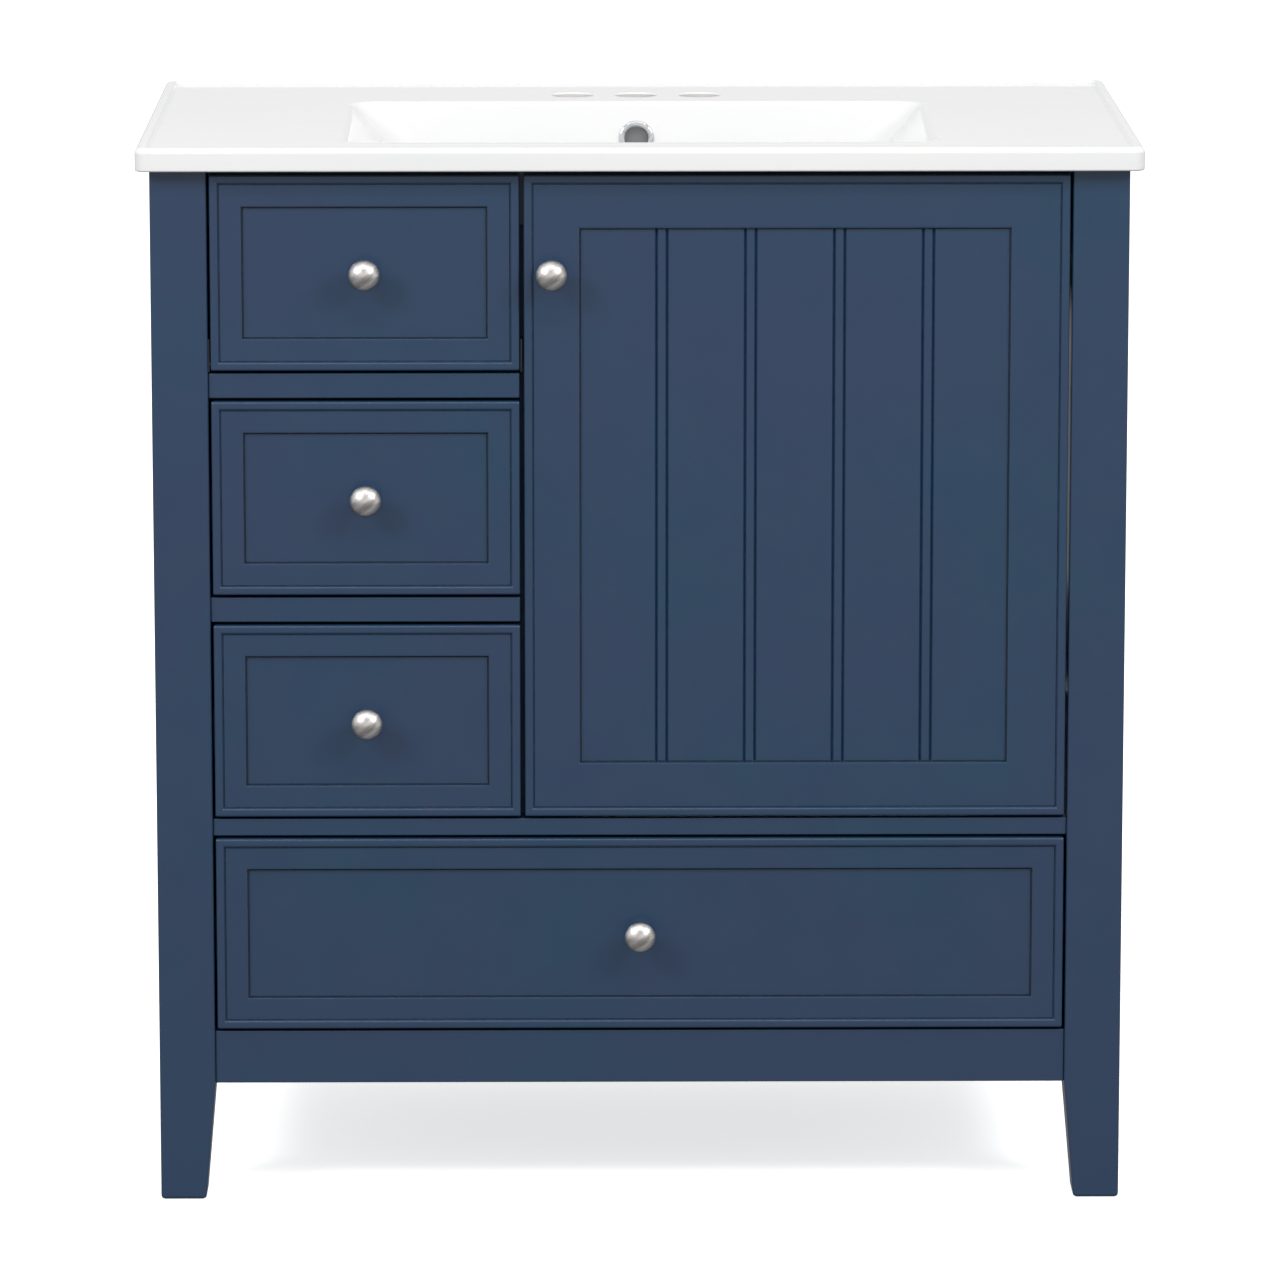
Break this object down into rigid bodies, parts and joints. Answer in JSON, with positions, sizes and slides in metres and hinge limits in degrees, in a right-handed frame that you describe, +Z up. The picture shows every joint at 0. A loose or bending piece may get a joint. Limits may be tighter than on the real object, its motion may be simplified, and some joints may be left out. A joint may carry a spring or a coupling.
{
  "type": "bathroom vanity cabinet",
  "caption": "Freestanding bathroom vanity: painted cabinet with tip-out flap, drawers and planked door under a one-piece ceramic top with basin, faucet and drain holes.",
  "frame": {"origin": "on the floor, at the bottom centre of the bounding box", "axes": "+X to the right seen from the front, +Y back to the wall, +Z up"},
  "size_m": [0.762, 0.4722, 0.819],
  "materials": {
    "navy_paint": "satin sprayed paint on wood",
    "inside_board": "matt painted board",
    "pale_plywood": "clear lacquered plywood",
    "white_glaze": "gloss white glaze",
    "brushed_nickel": "brushed",
    "chrome": "polished",
    "zinc_steel": "zinc plated",
    "black_steel": "black electrocoat",
    "screw_steel": "zinc plated",
    "white_plastic": "moulded",
    "clear_rubber": "soft pad"
  },
  "bodies": {
    "cabinet": {"ceramic_top": "white_glaze", "overflow_ring": "chrome", "left_front_post": "navy_paint", "right_front_post": "navy_paint", "left_rear_post": "navy_paint", "right_rear_post": "navy_paint", "left_side_panel": "navy_paint", "right_side_panel": "navy_paint", "front_bottom_rail": "navy_paint", "middle_rail": "navy_paint", "lower_drawer_rail": "navy_paint", "upper_drawer_rail": "navy_paint", "front_top_rail": "navy_paint", "rear_bottom_rail": "navy_paint", "rear_top_rail": "navy_paint", "divider": "inside_board", "compartment_floor": "inside_board", "base_panel": "inside_board", "back_panel": "inside_board", "slide_battens": "inside_board", "hinge_batten": "inside_board", "hinge_arms": "zinc_steel", "small_drawer_slides": "black_steel", "wide_drawer_slides": "black_steel", "flap_pivots": "black_steel", "door_bumpers": "clear_rubber"},
    "flap": {"flap_front": "navy_paint", "flap_knob": "brushed_nickel", "flap_knob_screw": "screw_steel", "flap_tray": "white_plastic"},
    "door": {"door_frame": "navy_paint", "door_panel": "navy_paint", "door_knob": "brushed_nickel", "door_knob_screw": "screw_steel", "hinge_cups": "zinc_steel"},
    "lower_drawer": {"lower_drawer_front": "navy_paint", "lower_drawer_knob": "brushed_nickel", "lower_drawer_knob_screw": "screw_steel", "lower_drawer_left_side": "pale_plywood", "lower_drawer_right_side": "pale_plywood", "lower_drawer_back": "pale_plywood", "lower_drawer_base": "pale_plywood", "lower_drawer_runners": "black_steel"},
    "middle_drawer": {"middle_drawer_front": "navy_paint", "middle_drawer_knob": "brushed_nickel", "middle_drawer_knob_screw": "screw_steel", "middle_drawer_left_side": "pale_plywood", "middle_drawer_right_side": "pale_plywood", "middle_drawer_back": "pale_plywood", "middle_drawer_base": "pale_plywood", "middle_drawer_runners": "black_steel"},
    "wide_drawer": {"wide_drawer_front": "navy_paint", "wide_drawer_knob": "brushed_nickel", "wide_drawer_knob_screw": "screw_steel", "wide_drawer_left_side": "pale_plywood", "wide_drawer_right_side": "pale_plywood", "wide_drawer_back": "pale_plywood", "wide_drawer_base": "pale_plywood", "wide_drawer_runners": "black_steel"}
  },
  "joints": [
    {"name": "flap_tilt", "type": "hinge", "parent": "cabinet", "child": "flap", "pos_m": [-0.20845, -0.2074, 0.6525], "axis": [1, 0, 0], "range_deg": [0, 40]},
    {"name": "middle_drawer_slide", "type": "slide", "parent": "cabinet", "child": "middle_drawer", "axis": [0, -1, 0], "range_m": [0, 0.25]},
    {"name": "lower_drawer_slide", "type": "slide", "parent": "cabinet", "child": "lower_drawer", "axis": [0, -1, 0], "range_m": [0, 0.25]},
    {"name": "wide_drawer_slide", "type": "slide", "parent": "cabinet", "child": "wide_drawer", "axis": [0, -1, 0], "range_m": [0, 0.25]},
    {"name": "door_swing", "type": "hinge", "parent": "cabinet", "child": "door", "pos_m": [0.32675, -0.2119, 0.54975], "axis": [0, 0, 1], "range_deg": [0, 105]}
  ]
}
